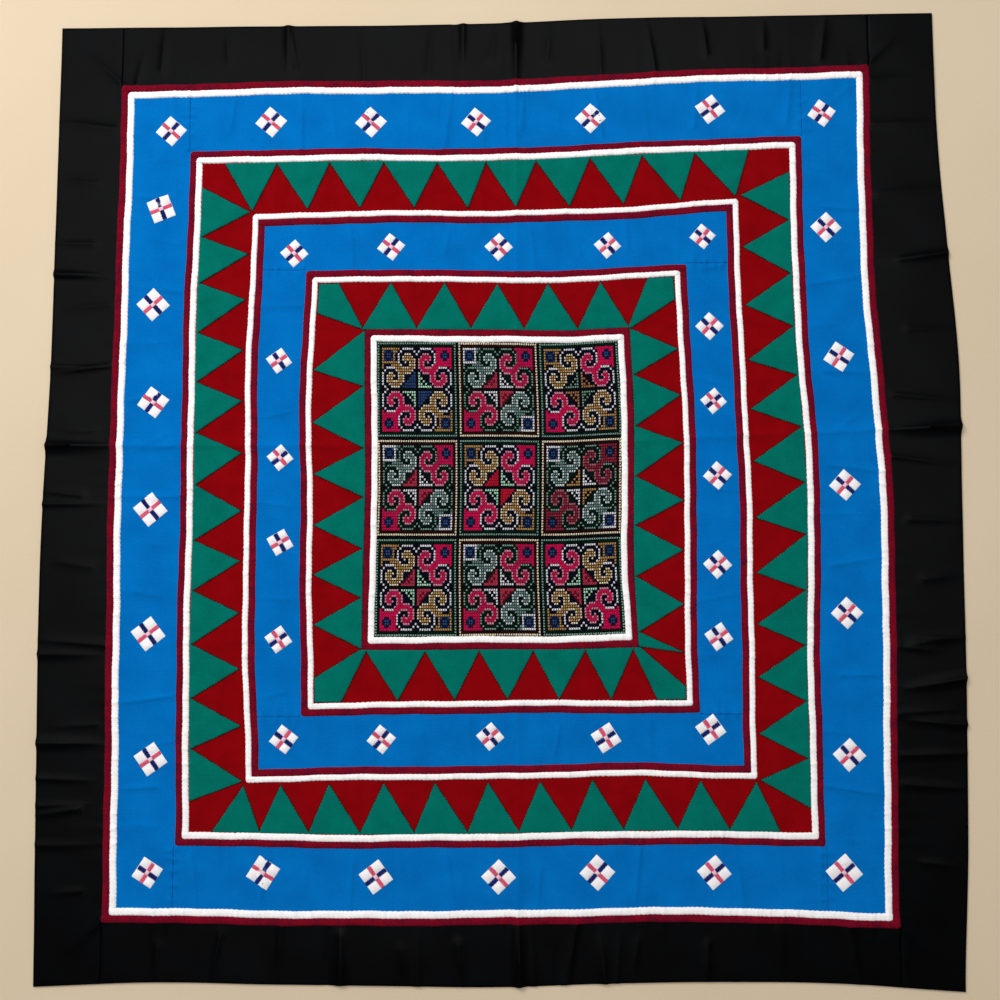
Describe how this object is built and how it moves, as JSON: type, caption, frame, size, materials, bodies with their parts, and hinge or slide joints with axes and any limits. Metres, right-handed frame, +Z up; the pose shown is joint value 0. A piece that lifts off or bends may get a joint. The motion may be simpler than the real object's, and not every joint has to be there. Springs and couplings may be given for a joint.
{
  "type": "pieced flower cloth",
  "caption": "Pieced and appliqued flower cloth laid flat, with nested frames, tapes, toothed bands and a cross-stitched centre.",
  "frame": {"origin": "middle of the laid cloth's bounding box, on the surface that it lies on", "axes": "+Z up out of the face, +Y to the top edge of the cloth, +X to its right edge"},
  "size_m": [0.6732, 0.718, 0.0053],
  "materials": {
    "black_satin": "satin weave",
    "blue_cotton": "plain weave",
    "red_cotton": "plain weave",
    "green_cotton": "plain weave",
    "red_tape": "plain weave",
    "white_tape": "plain weave",
    "panel_cloth": "even weave"
  },
  "bodies": {
    "root": {"black_top": "black_satin", "black_right": "black_satin", "black_bottom": "black_satin", "black_left": "black_satin", "blue_outer_top": "blue_cotton", "blue_outer_right": "blue_cotton", "blue_outer_bottom": "blue_cotton", "blue_outer_left": "blue_cotton", "red_outer_top": "red_cotton", "red_outer_right": "red_cotton", "red_outer_bottom": "red_cotton", "red_outer_left": "red_cotton", "blue_inner_top": "blue_cotton", "blue_inner_right": "blue_cotton", "blue_inner_bottom": "blue_cotton", "blue_inner_left": "blue_cotton", "red_inner_top": "red_cotton", "red_inner_right": "red_cotton", "red_inner_bottom": "red_cotton", "red_inner_left": "red_cotton", "green_outer_top": "green_cotton", "green_outer_right": "green_cotton", "green_outer_bottom": "green_cotton", "green_outer_left": "green_cotton", "green_inner_top": "green_cotton", "green_inner_right": "green_cotton", "green_inner_bottom": "green_cotton", "green_inner_left": "green_cotton", "ring1_white_tape": "white_tape", "ring1_red_tape": "red_tape", "ring2_white_tape": "white_tape", "ring2_red_tape": "red_tape", "ring3_white_tape": "white_tape", "ring3_red_tape": "red_tape", "ring4_white_tape": "white_tape", "ring4_red_tape": "red_tape", "ring5_white_tape": "white_tape", "ring5_red_tape": "red_tape", "centre_panel": "panel_cloth"}
  },
  "joints": []
}
